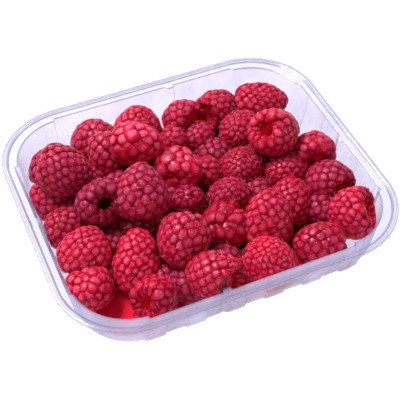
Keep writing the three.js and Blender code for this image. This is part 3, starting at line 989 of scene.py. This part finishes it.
def press_into_tray(mesh):
    """Flattens softly what reaches past the wall or the liner, and trims hairs above the heap."""
    points = read_vectors(mesh.vertices, "co") / MM
    flat, z = points[:, :2], points[:, 2]
    past = np.abs(flat) - np.array([LENGTH, WIDTH]) / 2 + CORNER_RADIUS
    outer = (past > 0).any(axis=1)
    outward = np.where(outer[:, None], np.maximum(past, 0), np.eye(2)[np.argmax(past, axis=1)])
    reach = np.linalg.norm(outward, axis=1)
    inside = CORNER_RADIUS - np.where(outer, reach, past.max(axis=1))
    outward = outward / np.maximum(reach, 1e-9)[:, None] * np.sign(flat)
    below = np.clip(WALL_FOOT_RADIUS - z, 0, WALL_FOOT_RADIUS * 0.98)
    foot_curve = WALL_FOOT_RADIUS - np.sqrt(WALL_FOOT_RADIUS ** 2 - below ** 2)
    insets, heights = zip(*(row[:2] for row in SECTION[1:3]))
    wall = np.interp(z, heights, insets) + SHEET / 2 + WALL_GAP + foot_curve
    inward = CORNER_LEDGE * (past > 0).all(axis=1)
    for turn, _, half_width, _, _, lug_place, _ in SIDES:
        cos, sin = math.cos(math.radians(turn)), math.sin(math.radians(turn))
        near = flat @ np.array([sin, -cos]) > half_width - CORNER_RADIUS
        lug = presence(flat @ np.array([cos, sin]), lug_place, LUG_WIDTH + LUG_MARGIN, LUG_RAMP)
        inward = np.maximum(inward, LUG_REACH * near * lug)
    wall += inward * np.clip(z / HEIGHT, 0, 1)
    free = inside - wall
    points[:, :2] -= outward * softly(free)[:, None]
    points[:, 2] += softly(z - LINER_TOP - WALL_GAP)
    points[:, 2] = np.minimum(points[:, 2], HEAP_TOP)
    mesh.vertices.foreach_set("co", (points * MM).astype(np.float32).ravel())
    mesh.update()


groups = {"back": [], "middle": [], "front": [], "upper": []}
beads_made = 0
for number, row in enumerate(LOWER_BERRIES + HIDDEN_BERRIES + UPPER_BERRIES, 1):
    berry, count = make_berry(number, row)
    beads_made += count
    if row in UPPER_BERRIES:
        group = "upper"
    elif row[1] > GROUP_EDGE:
        group = "back"
    elif row[1] > -GROUP_EDGE:
        group = "middle"
    else:
        group = "front"
    groups[group].append(berry)
heaps = [join(f"berries_{group}", berries) for group, berries in groups.items()]
print("berries:", sum(map(len, groups.values())), "beads:", beads_made)
for heap in heaps:
    print(heap.name, "triangles:", sum(len(face.vertices) - 2 for face in heap.data.polygons))

# %% [markdown]
# ## Raspberry flesh
#
# A bead's skin is thin and clear over red juice, and a dusty bloom of very fine hairs dulls its top. So
# the red beside the seams is the purest, and the tops are paler and pinker. Two things that the mesh
# carries drive that: how far each point lies inside its own bead, and how ripe the berry is. Light is
# painted in as well: the bloom is painted paler where the surface faces up to the light, small pale
# flecks are painted glints, and a thin darker line right at each seam is painted shade. Light spreads
# far through the juice, so the subsurface share is large and the seams glow instead of going black.
# The hollow's red is painted darker towards its deep end as shade, nearly black in the ripest berries,
# and the light that comes through its thin wall is painted as a faint glow, which also shows the fine
# threads that held the plug.

# %% Flesh material
HOLLOW_THREADS = 15
board = flesh_board
inner, tone, ripeness, hollow, hair, shine = (
    board.attribute(name) for name in ("inner", "tone", "ripeness", "hollow", "hair", "shine")
)
mottle = board.noise(1100.0, 4.0, board.place, 0.6)
patches = board.noise(110.0, 2.0, board.place)
up = board.split(board.add("ShaderNodeNewGeometry", out="Normal")).out("Z")
# Painted light: the bloom is paler where the surface faces up, towards the lamps.
painted_top_light = 0.35 + 0.65 * board.smooth(up, -0.3, 0.75)
bloom_and_painted_top_light = board.smooth(inner + 0.3 * (mottle - 0.5), 0.04, 0.5) * painted_top_light
bright_seam = board.blend(patches, rgb(218, 0, 48), rgb(192, 0, 40))
seam = board.blend(ripeness, bright_seam, rgb(140, 0, 42))
light_dust = board.blend(tone, rgb(230, 100, 140), rgb(218, 50, 92))
dark_dust = board.blend(tone, rgb(172, 68, 112), rgb(144, 26, 70))
fuzz = board.smooth(mottle, 0.42, 0.72)
dusty = board.blend(ripeness, light_dust, dark_dust)
dusty = board.blend(0.6 * fuzz, dusty, board.blend(ripeness, rgb(238, 124, 152), rgb(196, 92, 124)))
skin = board.blend(bloom_and_painted_top_light * (0.8 - 0.4 * shine), seam, dusty)
# Painted shade: a thin darker red right at each seam, deeper in some patches.
painted_seam_shade = board.blend(ripeness, rgb(128, 0, 26), rgb(84, 0, 20))
depth = board.smooth(patches, 0.35, 0.65, 0.05, 0.5)
skin = board.blend(depth * (1.0 - board.smooth(inner, 0.0, 0.07)), skin, painted_seam_shade)
seat = board.split(board.add("ShaderNodeUVMap", uv_map="seat"))
threads = board.maths("SINE", (seat.out("X") + 0.02 * mottle) * 2 * math.pi * HOLLOW_THREADS)
# Painted shade: the hollow's red darkens towards its deep end, and nearly to black in the ripest berries.
inside = board.blend(board.smooth(seat.out("Y"), -1.0, -0.2), rgb(140, 0, 14), rgb(214, 8, 28))
inside = board.blend(0.2 + 0.2 * threads, inside, rgb(236, 60, 64))
skin = board.blend(hollow, skin, board.blend(ripeness ** 4, inside, rgb(50, 0, 8)))
# Painted highlights: small pale flecks on the beads stand in for glints.
spots = board.add("ShaderNodeTexVoronoi", {"Vector": board.place, "Scale": 950.0}, "Distance")
painted_glints = (1.0 - board.smooth(spots, 0.08, 0.22)) * board.smooth(mottle, 0.4, 0.6) * (1.0 - hollow)
pale = board.blend(ripeness, rgb(248, 180, 198), rgb(214, 140, 166))
skin = board.blend(0.7 * painted_glints, skin, pale)
skin = board.blend(hair, skin, rgb(232, 150, 150))
pores = board.noise(1500.0, 3.0, board.place)
board.finish_principled({
    "Base Color": skin,
    "Roughness": 0.5 - 0.28 * shine + 0.12 * (mottle - 0.5),
    "Specular IOR Level": 0.1,
    "Subsurface Weight": 0.7,
    "Subsurface Radius": (1.0, 0.12, 0.1),
    "Subsurface Scale": 0.0028,
    # Painted glow: the hollow of a berry that isn't fully ripe shines faintly in its own red.
    "Emission Color": board.blend(hollow * (1.0 - ripeness ** 4), rgb(0, 0, 0), inside),
    "Emission Strength": 0.16,
    "Coat Weight": bloom_and_painted_top_light * (0.1 + 0.5 * shine),
    "Coat Roughness": 0.15,
    "Sheen Weight": 0.06,
    "Sheen Roughness": 0.35,
    "Sheen Tint": rgb(226, 176, 206),
    "Normal": board.bump(pores, 0.6, 0.0002),
})

# %% [markdown]
# ## Under the heap
#
# Between the berries the eye meets only more fruit in the dark. A low bumpy bed of dark red, well
# below the berries that show, is painted shade for that fruit: it closes those gaps so that no white
# floor shines up through them.

# %% Bed
BED_BOTTOM = 2.0
BED_TOP = 6.0
BED_LUMP = 0.6
LUMP_PITCH = 0.9
BED_CENTRE = np.array([4.0, 4.0])
BED_OUTLINE = [
    (-36, -44), (52, -44), (62, -30), (62, 36), (48, 48),
    (-48, 48), (-62, 34), (-62, -30), (-50, -20), (-38, -24),
]
edge = []
for here, after in zip(BED_OUTLINE, BED_OUTLINE[1:] + BED_OUTLINE[:1]):
    edge += [np.array(here) + (np.array(after) - np.array(here)) * share for share in (0, 0.25, 0.5, 0.75)]
edge = np.array(edge)
rings = [level(BED_CENTRE + (edge - BED_CENTRE) * share, BED_BOTTOM) for share in (0.5, 0.96)]
for share, rise in ((1.0, 0.2), (1.0, 0.75), (0.96, 1.0), (0.85, 1.0), (0.7, 1.0), (0.5, 1.0), (0.25, 1.0)):
    flat = BED_CENTRE + (edge - BED_CENTRE) * share
    height = BED_TOP - BED_BOTTOM + waves(flat, BED_LUMP, LUMP_PITCH)
    rings.append(level(flat, BED_BOTTOM + rise * height))
bed = add_object("shaded_berry_bed", loft("shaded_berry_bed", rings))
gap_shade_material, board = new_material("painted_gap_shade")
# Painted shade: the bed's dark red stands for the shaded fruit in the gaps.
lumps = board.noise(300.0, 3.0, board.place)
board.finish_principled({
    "Base Color": board.blend(lumps, rgb(96, 0, 16), rgb(140, 2, 28)),
    "Roughness": 0.4 + 0.3 * lumps,
    "Specular IOR Level": 0.05,
    "Normal": board.bump(lumps, 0.6, 0.0012),
})
bed.data.materials.append(gap_shade_material)

for piece in (*heaps, bed):
    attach(piece, "root")
    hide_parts("berries")
